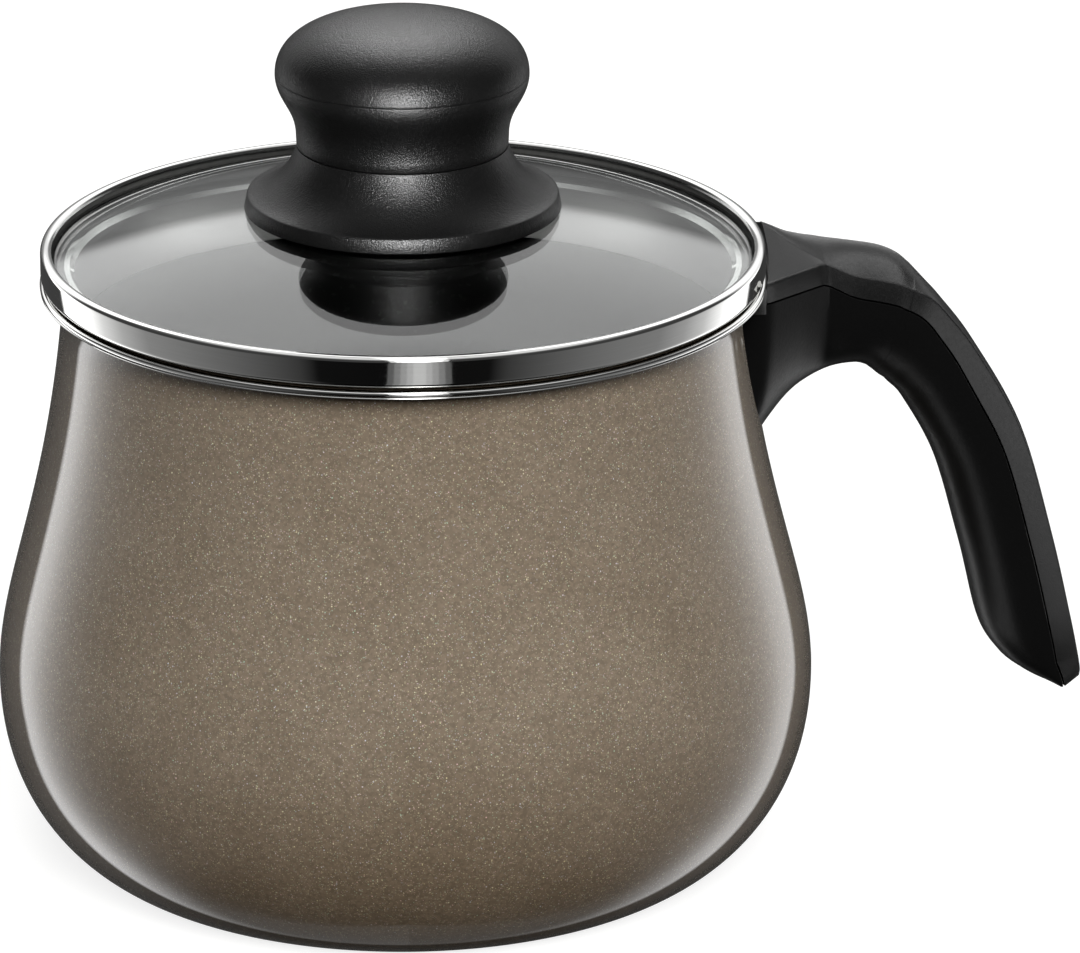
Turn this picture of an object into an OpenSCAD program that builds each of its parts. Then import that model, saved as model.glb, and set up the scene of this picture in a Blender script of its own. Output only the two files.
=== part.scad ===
// Small bellied saucepan with a stainless rim, a domed glass lid with a turned black knob,
// and one downward-curving black handle. Origin at the centre of the base, handle along +X.

/* [Pot] */
// Height from the table to the top of the polished rim
pot_h = 123.5; // [110:0.1:140]
// Largest radius of the belly
belly_r = 84.5; // [80:0.5:92]
// Height of the widest point of the belly
belly_z = 38.5; // [34:0.5:46]
// Radius of the flat base
base_r = 63; // [56:0.5:68]
// Outer radius of the neck just under the rim
neck_r = 69.8; // [66:0.1:74]
// Thickness of the steel wall
wall_t = 2.2; // [1.6:0.1:3]
// Thickness of the base
base_t = 3.2; // [2.4:0.1:5]
// Depth of the ring groove pressed into the base
groove_d = 0.8; // [0.4:0.1:1.2]
// Distance of the groove from the edge of the base
foot_w = 13; // [8:0.5:18]

/* [Rim] */
// How far the rim stands out from the neck
rim_out = 4.6; // [4:0.1:6]
// Height of the polished rim band
rim_h = 1.5; // [1.5:0.1:2.2]
// Thickness of the flange inside the band
flange_t = 0.9; // [0.7:0.1:1]

/* [Lid] */
// Gap between the seated lid and the rim
seat_gap = 0.5; // [0.3:0.05:0.7]
// Gap between the lid's skirt and the mouth of the pot
skirt_play = 0.5; // [0.3:0.1:1]
// Depth of the lid's skirt below its seat
skirt_h = 12.6; // [8:0.2:16]
// Height of the lid ring's outer wall
ring_h = 6.6; // [5.8:0.1:7.5]
// How far the ring stands inside the rim's edge
ring_inset = 0.2; // [0:0.1:0.6]
// Thickness of the ring's sheet steel
ring_t = 0.5; // [0.4:0.05:0.6]
// Width of the ring's rolled top lip
lip_w = 2.3; // [2.2:0.1:3]
// Thickness of the glass
glass_t = 3.5; // [3:0.1:4]
// Radius of the dome of the glass
dome_r = 230; // [200:5:300]
// Radius of the hole in the glass
glass_hole_r = 5; // [4.5:0.1:6]
// Thickness of the sealant under the edge of the glass
seal_t = 0.25; // [0.2:0.05:0.4]

/* [Knob] */
// Height of the knob's head and neck above its seam
knob_h = 27; // [22:0.5:34]
// Largest radius of the knob's head
head_r = 25.9; // [23:0.1:30]
// Radius of the knob's neck
knob_neck_r = 21.7; // [18:0.1:24]
// Outer radius of the flared knob base
flare_r = 32.4; // [29:0.1:36]
// Height of the flared knob base
flare_h = 13.4; // [11:0.1:16]
// Height of the straight edge of the flared base
flare_edge_h = 3.2; // [2:0.1:4]
// Gap between the edge of the flared base and the glass
flare_gap = 0.4; // [0.3:0.05:0.6]

/* [Lid screw] */
// Radius of the screw's shank
lid_screw_r = 2.5; // [2:0.1:3]
// Radius of the screw's head
lid_head_r = 4.6; // [4:0.1:5.5]
// Height of the screw's head
lid_head_h = 2.6; // [2:0.1:3.5]
// Length of thread in the knob
lid_grip_l = 13; // [8:0.5:16]
// Radius of the washers and gasket flanges
washer_r = 10; // [8:0.1:11.5]
// Thickness of the steel washer
washer_t = 1; // [0.8:0.1:1.5]
// Thickness of the rubber gaskets
gasket_t = 1.2; // [0.8:0.1:1.6]
// Outer radius of the brass insert in the knob
insert_r = 4.6; // [4:0.1:6]

/* [Handle] */
// How far the handle reaches out from the neck
handle_reach = 73; // [64:0.5:80]
// How far the handle's end hangs below the rim
handle_drop = 97; // [88:0.5:104]
// Depth of the handle's arm, from its back to its inner side
arm_depth = 18.8; // [16:0.1:21]
// Width of the crest along the handle's back
crest_w = 18; // [15:0.5:20]
// Width by which the handle widens again from crest to parting line
shoulder_w = 5; // [3.6:0.2:7]
// Width of the handle where it meets the pot
root_w = 43; // [36:0.5:46]
// Distance from the neck at which the handle's root has narrowed
root_l = 17; // [15:0.5:20]
// Thickness of the handle's cover below its crest edge, at the root and at the end
cover_t = 3.8; // [3.2:0.1:4.4]
// How much thicker the cover is along the arm
arm_cover = 1.2; // [0.6:0.1:1.6]
// Gap between the handle and the rim
rim_gap = 0.4; // [0.3:0.05:0.8]
// Depth of the groove along the line where cover and grip meet
notch = 1.2; // [0.6:0.1:1.4]
// Half the width of that groove
notch_half = 0.2; // [0.15:0.05:0.3]

/* [Handle fixing] */
// Depth of the bracket's tongue below the rim
tongue_down = 13.5; // [12:0.5:15]
// Thickness of the bracket
bracket_t = 2.5; // [2:0.1:3]
// Width of the bracket's tongue
tongue_w = 14; // [12:0.5:16]
// Length of the tongue beyond the neck
tongue_l = 23; // [22:0.5:25]
// Height of the bracket's saddle on the pot wall
saddle_h = 15; // [10:0.5:17]
// Width of the saddle
saddle_w = 26; // [20:0.5:28]
// Distance of the screw beyond the neck
fix_out = 17; // [15:0.5:17.5]
// Radius of the handle screw's shank
fix_r = 2.5; // [2:0.1:3]
// Radius of the handle screw's head
fix_head_r = 4.2; // [3.8:0.1:5]
// Height of the handle screw's head
fix_head_h = 2.6; // [2:0.1:3]
// Thickness of the spring washer
spring_t = 0.9; // [0.6:0.1:1.2]
// Width across the square nut
nut_w = 8; // [7:0.2:9]
// Height of the square nut
nut_h = 4; // [3:0.1:4.5]
// Clearance round a screw that passes through
hole_play = 0.25; // [0.15:0.05:0.4]
// Clearance round the bracket in the grip
bracket_play = 0.2; // [0.1:0.05:0.3]
// Radius of the cover's pegs
peg_r = 2; // [1.5:0.1:2.5]
// Length of the cover's pegs
peg_l = 5; // [4:0.5:6]

/* [Hidden] */

enamel = "dimgray";
steel = "silver";
plastic = "#1c1c1e";
rubber = "#c9c9c4";
brass = "#b08d45";

// ---- small helpers ----
function clamp01(v) = min(max(v, 0), 1);
function bezier(p, n) = [
    for (i = [0:n])
        let (t = i / n, s = 1 - t)
            s * s * s * p[0] + 3 * s * s * t * p[1] + 3 * s * t * t * p[2] + t * t * t * p[3]
];
// A round arc of radius r about c, from angle a0 to a1
function arc(c, r, a0, a1, n) = [for (i = [0:n]) let (a = a0 + (a1 - a0) * i / n) c + r * [cos(a), sin(a)]];
// The points moved by d to the left of the way the curve runs
function shifted(pts, d) = [
    for (i = [0:len(pts) - 1])
        let (
            a = pts[max(i - 1, 0)],
            b = pts[min(i + 1, len(pts) - 1)],
            v = (b - a) / norm(b - a)
        ) pts[i] + d * [-v[1], v[0]]
];
// Radius of a curve of points (radius, height) that rises, at height z
function radius_at(pts, z, i = 0) =
    i >= len(pts) - 2 || pts[i + 1][1] >= z
        ? let (a = pts[i], b = pts[i + 1]) a[0] + (b[0] - a[0]) * (z - a[1]) / (b[1] - a[1])
        : radius_at(pts, z, i + 1);

// ---- pot profile ----
// Depth of the rolled neck, and lean of the wall below it in degrees
neck_roll = 2.7;
neck_lean = 5.3;
neck_z = pot_h - rim_h - neck_roll;
// How long the curve keeps its direction: from the base, from the belly and from the neck
base_pull = 2;
belly_pull = 0.77;
flank_pull = 0.24;
neck_pull = 0.565;
flank_h = neck_z - belly_z;
belly_pts = bezier([
    [base_r, 0], [base_r + base_pull, 0], [belly_r, belly_z * (1 - belly_pull)], [belly_r, belly_z]
], 16);
flank_pts = bezier([
    [belly_r, belly_z],
    [belly_r, belly_z + flank_pull * flank_h],
    [neck_r, neck_z] + neck_pull * flank_h * [sin(neck_lean), -cos(neck_lean)],
    [neck_r, neck_z]
], 18);
wall_pts = concat(belly_pts, [for (i = [1:len(flank_pts) - 1]) flank_pts[i]]);
inner_all = shifted(wall_pts, wall_t);
// Size of the chamfer between the inner wall and the base
inner_chamfer = 1.5;
inner_pts = [for (p = inner_all) if (p[1] > base_t + inner_chamfer) p];
inner_base_r = radius_at(inner_all, base_t + inner_chamfer) - inner_chamfer;
mouth_r = inner_pts[len(inner_pts) - 1][0];

// ---- rim ----
rim_r = neck_r + rim_out;
band_leg = (rim_h - flange_t) / 2;
flange_z = pot_h - rim_h + band_leg;
fillet_r = flange_z - neck_z;
band_in = neck_r + fillet_r;
// Radius of the band's rounded edges, its least wall, and the bead along its lower edge
band_edge_r = 0.6;
band_wall = 0.5;
bead_h = 0.3;
bead_out = 0.2;
// Radius where the flange turns into the mouth
mouth_turn_r = 2.6;

// ---- lid ----
seat_z = pot_h + seat_gap;
skirt_out_r = mouth_r - skirt_play;
ring_r = rim_r - ring_inset;
ring_top = seat_z + ring_h;
lip_in_r = ring_r - lip_w;
// Radii of the ring's bends: below its wall, over its lip, inside its lip and at the skirt
corner_r = 1.4;
lip_r = 1.1;
lip_edge_r = 0.8;
skirt_bend = 0.6;
glass_r = lip_in_r + 0.3;
glass_inner_r = dome_r - glass_t;
dome_z = seat_z + ring_t + seal_t - sqrt(pow(glass_inner_r, 2) - pow(glass_r, 2));
function glass_top(r) = dome_z + sqrt(pow(dome_r, 2) - pow(r, 2));
function glass_under(r) = dome_z + sqrt(pow(glass_inner_r, 2) - pow(r, 2));

// ---- knob ----
knob_z = glass_top(flare_r) + flare_gap;
seam_z = knob_z + flare_h;
gasket_z = glass_top(glass_hole_r);
hub_z = gasket_z + gasket_t;
under_z = glass_under(washer_r);
lower_z = under_z - gasket_t;
head_z = lower_z - washer_t;
insert_top = seam_z + lid_grip_l + 1;
spigot_r = knob_neck_r - 6;
spigot_h = 3;

// ---- handle ----
// Each row is one cross-section: share of the reach, share of the drop, lean of the section
// in degrees from upright, depth as a multiple of arm_depth, height of the crown on the crest
handle_rows = [
    [-0.055, -0.098, 0, 3.00, 0.4],
    [0.068, -0.070, 0, 2.20, 0.4],
    [0.146, -0.043, 0, 1.75, 1.3],
    [0.233, -0.025, 0, 1.48, 2.5],
    [0.318, -0.016, 6, 1.38, 4.4],
    [0.407, -0.002, 13, 1.32, 4.6],
    [0.462, 0.017, 17.6, 1.283, 3.9],
    [0.497, 0.040, 21.6, 1.24, 3.0],
    [0.506, 0.047, 22.8, 1.225, 2.6],
    [0.545, 0.081, 28.9, 1.158, 1.2],
    [0.595, 0.125, 36.4, 1.088, 0.9],
    [0.685, 0.218, 52, 1.01, 0.8],
    [0.821, 0.404, 69.5, 1.01, 0.9],
    [0.916, 0.647, 80, 1.01, 0.9],
    [0.974, 0.835, 83, 1.00, 0.8],
    [0.996, 0.915, 86, 0.88, 0.7],
    [1.003, 0.946, 82, 0.68, 0.6],
    [1.005, 0.963, 75, 0.47, 0.5],
    [1.002, 0.976, 69, 0.31, 0.4]
];
steps = 4;
// Share of the root's length where the crest starts as a point, and least half width of the crest
apex_share = 0.29;
least_crest = 1.2;
// Distance from the neck where the root has its full width
root_start = 1.8;
// Width of the small bevels along the crest
bevel = 0.3;
// Height from which the handle's drop counts, and of the root's upper edges
handle_z = pot_h + 0.4;
edge_z = handle_z + 0.4;
// The arm narrows by this share from here on, a share of the drop
narrows_by = 0.16;
narrows_from = 0.8;
// Shares of the drop over which the cover thickens, and over which it thins at the end
cover_grows = [0.05, 0.3];
cover_ends = [0.93, 0.976];
// How gently the grip's flanks leave the narrow part, below the parting line
flank_blend = 3;
// Least depth of the grip below the parting line, and how square its section is (1 is round)
least_grip = 0.8;
squareness = 0.8;
// A smooth curve through four rows, at t between the second and the third
function through(a, b, c, d, t) =
    0.5 * (2 * b + (c - a) * t + (2 * a - 5 * b + 4 * c - d) * t * t + (3 * b - a - 3 * c + d) * t * t * t);
last_row = len(handle_rows) - 1;
handle_stations = concat(
    [
        for (i = [0:last_row - 1], k = [0:steps - 1])
            through(
                handle_rows[max(i - 1, 0)], handle_rows[i],
                handle_rows[i + 1], handle_rows[min(i + 2, last_row)], k / steps
            )
    ],
    [handle_rows[last_row]]
);
function station_at(row) = handle_stations[row * steps];
function crest_point(s) = [neck_r + s[0] * handle_reach, handle_z - s[1] * handle_drop];
function share_of(v, span) = clamp01((v - span[0]) / (span[1] - span[0]));
function inward(s) = [-sin(s[2]), -cos(s[2])];
function end_taper(s) = 1 - narrows_by * pow(share_of(s[1], [narrows_from, 1]), 2);
function out_of(s) = s[0] * handle_reach;
function crest_half(s) =
    max(least_crest, crest_w / 2 * clamp01((out_of(s) / root_l - apex_share) / (1 - apex_share)))
    * end_taper(s);
function root_share(s) = clamp01(1 - out_of(s) / root_l);
function flare_share(s) = clamp01((root_l - out_of(s)) / (root_l - root_start));
function edge_half(s) = bevel + crest_w / 2 * end_taper(s) + (root_w - crest_w) / 2 * flare_share(s);
function edge_depth(s) = root_share(s) > 0
    ? max(crest_point(s)[1] - edge_z, s[4] + bevel)
    : s[4] + bevel;
function seam_half(s) = edge_half(s) + shoulder_w / 2 * (1 - 0.5 * root_share(s)) * end_taper(s);
function seam_depth(s) =
    edge_depth(s) + cover_t + arm_cover * (share_of(s[1], cover_grows) - share_of(s[1], cover_ends));
function full_depth(s) = max(s[3] * arm_depth, seam_depth(s) + least_grip);
// How much narrower than at the parting line the root's flanks are further down
function flank_in(s) =
    let (u = max(root_l - out_of(s), 0))
        (root_w - crest_w) / 2 / (root_l - root_start) * (u - u * u / (u + flank_blend));
// A point of a section, at half width w and depth d below the crest
function place(s, w, d) = let (c = crest_point(s) + d * inward(s)) [c[0], w, c[1]];

function cover_section(s) =
    let (
        wc = crest_half(s), we = edge_half(s), ws = seam_half(s),
        k = s[4], de = edge_depth(s), ds = seam_depth(s)
    )
    let (half = [
        [0, 0], [wc * 0.5, k * 0.25], [wc * 0.8, k * 0.64], [wc, k], [we, de],
        [ws, ds - notch_half], [ws - notch, ds]
    ])
    concat(
        [for (p = half) place(s, p[0], p[1])],
        [for (i = [len(half) - 1:-1:1]) place(s, -half[i][0], half[i][1])]
    );
function grip_section(s) =
    let (ws = seam_half(s), ds = seam_depth(s), h = full_depth(s) - ds, n = 9)
    let (side = concat(
        [[ws - notch, ds], [ws, ds + notch_half]],
        [
            for (i = [1:n])
                let (a = 90 * i / n)
                    [
                        (ws - flank_in(s) * sin(a)) * pow(cos(a), squareness),
                        ds + notch_half + (h - notch_half) * pow(sin(a), squareness)
                    ]
        ]
    ))
    concat(
        [for (p = side) place(s, p[0], p[1])],
        [for (i = [len(side) - 2:-1:0]) place(s, -side[i][0], side[i][1])]
    );
// A solid skinned over closed sections with as many points each
module skin(sections) {
    m = len(sections[0]);
    n = len(sections);
    polyhedron(
        points = [for (s = sections, p = s) p],
        faces = concat(
            [[for (j = [m - 1:-1:0]) j]],
            [
                for (i = [0:n - 2], j = [0:m - 1])
                    let (a = i * m + j, b = i * m + (j + 1) % m) [a, b, b + m, a + m]
            ],
            [[for (j = [0:m - 1]) (n - 1) * m + j]]
        )
    );
}
// Everything that the handle's root must keep clear of
module pot_space() {
    low = 60;
    above_rim = pot_h + 20;
    clear_r = rim_r + rim_gap;
    up = [for (p = wall_pts) if (p[1] > low + 1 && p[1] < neck_z - 1) p];
    rotate_extrude($fn = 120) polygon(concat(
        [[0, low], [radius_at(wall_pts, low), low]],
        up,
        [
            [radius_at(wall_pts, neck_z - 1), neck_z - 1], [clear_r, neck_z - 1],
            [clear_r, above_rim], [0, above_rim]
        ]
    ));
}

// ---- handle fixing ----
tongue_z = handle_z - tongue_down;
tongue_x = neck_r + 1.8;
saddle_t = bracket_t * 0.7;
fix_x = neck_r + fix_out;
// Height of grip between the tongue and the spring washer
clamped_h = 4;
shoulder_z = tongue_z - bracket_t - clamped_h;
fix_head_z = shoulder_z - spring_t;
fix_top = tongue_z + nut_h + 1;
// Room above the nut, and beyond the tip of a peg
nut_room = 1.3;
peg_room = 0.3;
// Depth of the well below the handle screw, and play round its head
well_h = 20;
well_play = 0.5;
// Depth and width of the cross recess in a screw's head
recess_h = 1.4;
recess_w = 1;
// Rows of the handle at which the cover has a peg
peg_rows = [7, 12, 14];

module pot_body() {
    groove_r = base_r - foot_w;
    flange_top = flange_z + flange_t;
    color(enamel) rotate_extrude($fn = 120) polygon(concat(
        [[0, 0], [groove_r - 4, 0], [groove_r - 3, groove_d], [groove_r - 1, groove_d], [groove_r, 0]],
        wall_pts,
        arc([neck_r + fillet_r, neck_z], fillet_r, 180, 90, 5),
        [[rim_r - band_wall, flange_z], [rim_r - band_wall, flange_top]],
        arc([mouth_r + mouth_turn_r, flange_top - mouth_turn_r], mouth_turn_r, 90, 180, 5),
        [for (i = [len(inner_pts) - 1:-1:0]) inner_pts[i]],
        [[inner_base_r, base_t], [0, base_t]]
    ));
}

module rim_band() {
    bottom = pot_h - rim_h;
    nose_z = bottom + bead_h + band_edge_r;
    color(steel) rotate_extrude($fn = 120) polygon(concat(
        [[band_in, bottom], [rim_r - bead_out, bottom], [rim_r - bead_out / 2, bottom + bead_h / 2]],
        [[rim_r - bead_out, bottom + bead_h]],
        arc([rim_r - band_edge_r, nose_z], band_edge_r, -45, -5, 3),
        arc([rim_r - band_edge_r, pot_h - band_edge_r], band_edge_r, 5, 90, 4),
        [
            [band_in, pot_h], [band_in, pot_h - band_leg], [rim_r - band_wall, pot_h - band_leg],
            [rim_r - band_wall, flange_z], [band_in, flange_z]
        ]
    ));
}

// The saddle follows the pot wall and the tongue stands out into the handle.
// The pocket for it is this shape with play, reaching back into the wall
module bracket_shape(play, back) {
    saddle_z = tongue_z - saddle_h - 1;
    intersection() {
        rotate_extrude($fn = 120) polygon(concat(
            [for (p = wall_pts) p - [back, 0]],
            [for (i = [len(wall_pts) - 1:-1:0]) wall_pts[i] + [saddle_t + play, 0]]
        ));
        translate([neck_r / 2, -saddle_w / 2 - play, saddle_z - play])
            cube([neck_r, saddle_w + 2 * play, saddle_h + 2 * play]);
    }
    translate([tongue_x, -tongue_w / 2 - play, tongue_z - bracket_t])
        cube([neck_r + tongue_l - tongue_x + play, tongue_w + 2 * play, bracket_t + play]);
}

module handle_bracket() {
    color(steel) difference() {
        bracket_shape(0, 0);
        translate([fix_x, 0, tongue_z - 10]) cylinder(r = fix_r, h = 20, $fn = 48);
    }
}

module bracket_nut() {
    color(steel) translate([fix_x, 0, tongue_z]) difference() {
        translate([-nut_w / 2, -nut_w / 2, 0]) cube([nut_w, nut_w, nut_h]);
        translate([0, 0, -1]) cylinder(r = fix_r, h = nut_h + 2, $fn = 48);
    }
}

// Cross recess in the underside of a screw's head
module cross_recess(screw_head_r) {
    length = 1.14 * screw_head_r;
    for (a = [0, 90]) rotate(a)
        translate([-length / 2, -recess_w / 2, -1]) cube([length, recess_w, recess_h + 1]);
}

module handle_screw() {
    color(steel) translate([fix_x, 0, 0]) {
        translate([0, 0, fix_head_z]) cylinder(r = fix_r, h = fix_top - fix_head_z, $fn = 48);
        difference() {
            translate([0, 0, fix_head_z - fix_head_h]) cylinder(r = fix_head_r, h = fix_head_h, $fn = 48);
            translate([0, 0, fix_head_z - fix_head_h]) cross_recess(fix_head_r);
        }
    }
}

module spring_washer() {
    color(steel) translate([fix_x, 0, fix_head_z]) difference() {
        cylinder(r = fix_head_r, h = spring_t, $fn = 48);
        translate([0, 0, -1]) cylinder(r = fix_r + hole_play, h = spring_t + 2, $fn = 48);
    }
}

// A peg's place: on the parting line of a section, pointing inward
module at_peg(row) {
    s = station_at(row);
    p = place(s, 0, seam_depth(s));
    translate(p) rotate([0, 180 + s[2], 0]) children();
}

module handle_grip() {
    nut_space = nut_w + 2 * bracket_play;
    color(plastic) difference() {
        skin([for (s = handle_stations) grip_section(s)]);
        pot_space();
        bracket_shape(bracket_play, 1);
        translate([neck_r, -nut_space / 2, tongue_z - 0.1])
            cube([fix_out + nut_space / 2, nut_space, nut_h + nut_room]);
        translate([fix_x, 0, shoulder_z - 1]) cylinder(r = fix_r + hole_play, h = 2 * clamped_h, $fn = 48);
        translate([fix_x, 0, shoulder_z - well_h])
            cylinder(r = fix_head_r + well_play, h = well_h, $fn = 48);
        for (row = peg_rows)
            at_peg(row) translate([0, 0, -1]) cylinder(r = peg_r, h = peg_l + 1 + peg_room, $fn = 32);
    }
}

module handle_cover() {
    color(plastic) difference() {
        union() {
            skin([for (s = handle_stations) cover_section(s)]);
            for (row = peg_rows)
                at_peg(row) translate([0, 0, -1]) cylinder(r = peg_r, h = peg_l + 1, $fn = 32);
        }
        pot_space();
    }
}

// ---- lid pieces ----
glass_section = concat(
    [for (i = [0:16]) let (r = glass_hole_r + (glass_r - glass_hole_r) * i / 16) [r, glass_under(r)]],
    [for (i = [16:-1:0]) let (r = glass_hole_r + (glass_r - glass_hole_r) * i / 16) [r, glass_top(r)]]
);
// The room between the sheets of the ring that holds the edge of the glass
channel_in = ring_r - lip_w + ring_t;
channel_pts = concat(
    [[skirt_out_r + 1.5, seat_z + ring_t]],
    arc([ring_r - corner_r, seat_z + corner_r], corner_r - ring_t, -90, 0, 4),
    arc([ring_r - lip_r, ring_top - lip_r], lip_r - ring_t, 0, 90, 4),
    [[channel_in, ring_top - ring_t], [channel_in, ring_top - lip_r]]
);

module lid_glass() {
    color("lightgray", 0.4) rotate_extrude($fn = 120) polygon(glass_section);
}

module lid_ring() {
    skirt_in_r = skirt_out_r - ring_t;
    color(steel) rotate_extrude($fn = 120) polygon(concat(
        [[skirt_in_r, seat_z - skirt_h], [skirt_out_r, seat_z - skirt_h]],
        [[skirt_out_r, seat_z - skirt_bend], [skirt_out_r + skirt_bend, seat_z]],
        arc([ring_r - corner_r, seat_z + corner_r], corner_r, -90, 0, 5),
        arc([ring_r - lip_r, ring_top - lip_r], lip_r, 0, 90, 6),
        arc([lip_in_r + lip_edge_r, ring_top - lip_edge_r], lip_edge_r, 90, 180, 4),
        [[lip_in_r, ring_top - lip_r], [channel_in, ring_top - lip_r], [channel_in, ring_top - ring_t]],
        arc([ring_r - lip_r, ring_top - lip_r], lip_r - ring_t, 90, 0, 4),
        arc([ring_r - corner_r, seat_z + corner_r], corner_r - ring_t, 0, -90, 4),
        [[skirt_out_r + 0.4, seat_z + ring_t], [skirt_in_r, seat_z - 0.4]]
    ));
}

module glass_seal() {
    color(rubber) difference() {
        rotate_extrude($fn = 120) polygon(concat(channel_pts, [[channel_in, glass_top(channel_in) - 1]]));
        rotate_extrude($fn = 120) polygon(glass_section);
    }
}

module knob_base() {
    edge_z1 = knob_z + flare_edge_h;
    hub_r = washer_r + 2;
    rib = 2.4;
    roof_z = seam_z - 5;
    color(plastic) rotate_extrude($fn = 120) polygon(concat(
        [[lid_screw_r + hole_play, hub_z], [hub_r, hub_z], [hub_r + 1, roof_z]],
        [[knob_neck_r - 1, roof_z], [flare_r - rib - 3, edge_z1 - 1.2], [flare_r - rib, knob_z]],
        [[flare_r - 0.2, knob_z], [flare_r, knob_z + 0.3], [flare_r - 0.5, edge_z1 - 0.3]],
        bezier([
            [flare_r - 0.9, edge_z1],
            [flare_r - 6.5, edge_z1 + 1.4],
            [knob_neck_r + 1.2, seam_z - 0.45 * (flare_h - flare_edge_h)],
            [knob_neck_r - 0.1, seam_z]
        ], 12),
        [[spigot_r, seam_z], [spigot_r, seam_z + spigot_h], [lid_screw_r + hole_play, seam_z + spigot_h]]
    ));
}

module knob_grip() {
    // The head is widest at this share of the knob's height
    widest = 0.56;
    head_z0 = seam_z + widest * knob_h;
    top = seam_z + knob_h;
    waist_z = seam_z + 2;
    color(plastic) rotate_extrude($fn = 120) polygon(concat(
        [[insert_r, seam_z + spigot_h], [spigot_r + 0.2, seam_z + spigot_h], [spigot_r + 0.2, seam_z]],
        [[knob_neck_r - 0.6, seam_z], [knob_neck_r - 0.1, seam_z + 0.4]],
        bezier([
            [knob_neck_r, waist_z], [knob_neck_r, waist_z + 6.4], [head_r, head_z0 - 4.7], [head_r, head_z0]
        ], 14),
        [for (p = bezier([
            [head_r, head_z0], [head_r, head_z0 + 7.7], [head_r * 0.663, top], [0, top]
        ], 18)) if (p[1] > head_z0) p],
        [[0, insert_top], [insert_r, insert_top]]
    ));
}

module knob_insert() {
    color(brass) rotate_extrude($fn = 48) polygon([
        [lid_screw_r, seam_z + spigot_h], [insert_r, seam_z + spigot_h],
        [insert_r, insert_top], [lid_screw_r, insert_top]
    ]);
}

module glass_grommet() {
    sleeve_bottom = glass_under(glass_hole_r) + 0.2;
    color(rubber) rotate_extrude($fn = 48) polygon([
        [lid_screw_r + hole_play, sleeve_bottom], [glass_hole_r, sleeve_bottom],
        [glass_hole_r, gasket_z], [washer_r, gasket_z], [washer_r, hub_z], [lid_screw_r + hole_play, hub_z]
    ]);
}

module lower_gasket() {
    color(rubber) rotate_extrude($fn = 48) polygon([
        [lid_screw_r + hole_play, lower_z], [washer_r, lower_z],
        [washer_r, under_z], [lid_screw_r + hole_play, under_z]
    ]);
}

module screw_washer() {
    color(steel) rotate_extrude($fn = 48) polygon([
        [lid_screw_r + hole_play, head_z], [washer_r - 0.5, head_z],
        [washer_r - 0.5, lower_z], [lid_screw_r + hole_play, lower_z]
    ]);
}

module lid_screw() {
    color(steel) difference() {
        union() {
            translate([0, 0, head_z - 0.5])
                cylinder(r = lid_screw_r, h = insert_top - 1 - head_z + 0.5, $fn = 48);
            translate([0, 0, head_z - lid_head_h]) cylinder(r = lid_head_r, h = lid_head_h, $fn = 48);
        }
        translate([0, 0, head_z - lid_head_h]) cross_recess(lid_head_r);
    }
}

pot_body();
rim_band();
handle_bracket();
bracket_nut();
handle_grip();
handle_cover();
handle_screw();
spring_washer();
lid_glass();
lid_ring();
glass_seal();
knob_base();
knob_grip();
knob_insert();
glass_grommet();
lower_gasket();
screw_washer();
lid_screw();
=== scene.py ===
import math

import bmesh
import bpy
import numpy as np
from mathutils import Matrix, Vector


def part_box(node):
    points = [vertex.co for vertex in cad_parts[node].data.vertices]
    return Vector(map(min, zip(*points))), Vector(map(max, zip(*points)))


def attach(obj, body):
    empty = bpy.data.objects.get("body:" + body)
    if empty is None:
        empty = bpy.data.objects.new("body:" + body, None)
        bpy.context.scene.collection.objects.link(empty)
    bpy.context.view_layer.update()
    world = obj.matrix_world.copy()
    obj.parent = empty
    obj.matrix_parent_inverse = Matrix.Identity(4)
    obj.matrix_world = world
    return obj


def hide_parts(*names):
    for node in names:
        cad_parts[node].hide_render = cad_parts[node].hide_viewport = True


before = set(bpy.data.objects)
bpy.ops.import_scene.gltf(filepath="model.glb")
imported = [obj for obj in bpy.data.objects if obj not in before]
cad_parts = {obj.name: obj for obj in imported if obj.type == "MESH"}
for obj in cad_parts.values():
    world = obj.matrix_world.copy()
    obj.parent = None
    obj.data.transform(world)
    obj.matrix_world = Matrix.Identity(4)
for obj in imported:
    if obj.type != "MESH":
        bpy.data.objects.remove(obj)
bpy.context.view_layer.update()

# ---------------------------------------------------------------- sizes
# outer sizes and places come from the solids' boxes, the others repeat the part's source
MM = 0.001
band_lo, band_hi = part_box("rim_band")
ring_lo, ring_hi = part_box("lid_ring")
glass_lo, glass_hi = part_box("lid_glass")
grip_lo, grip_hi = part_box("knob_grip")

pot_h = band_hi.z
belly_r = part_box("pot_body")[1].x
belly_z = 38.5 * MM
base_r = 63 * MM
base_t = 3.2 * MM
base_turn_r = 3 * MM
wall_t = 2.2 * MM
inner_chamfer = 1.5 * MM
mouth_turn_r = 2.6 * MM
foot_w = 13 * MM
groove_d, groove_w, groove_slope = 0.8 * MM, 4 * MM, 1 * MM

rim_r = band_hi.x
rim_h = band_hi.z - band_lo.z
rim_out = 4.6 * MM
flange_t = 0.9 * MM
band_wall = 0.5 * MM
band_edge_r = 0.6 * MM
neck_r = rim_r - rim_out
neck_roll = 2.7 * MM
neck_lean = math.radians(5.3)
neck_z = pot_h - rim_h - neck_roll

seat_z = pot_h + 0.5 * MM
ring_r, ring_top = ring_hi.x, ring_hi.z
skirt_bottom = ring_lo.z
skirt_play = 0.5 * MM
skirt_bend = 0.6 * MM
sheet_t = 0.5 * MM
corner_r, lip_r, lip_edge_r, lip_w = 1.4 * MM, 1.1 * MM, 0.8 * MM, 2.3 * MM
glass_r = glass_hi.x
glass_t = 3.5 * MM
glass_hole_r = 5 * MM
dome_r = 230 * MM

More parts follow.
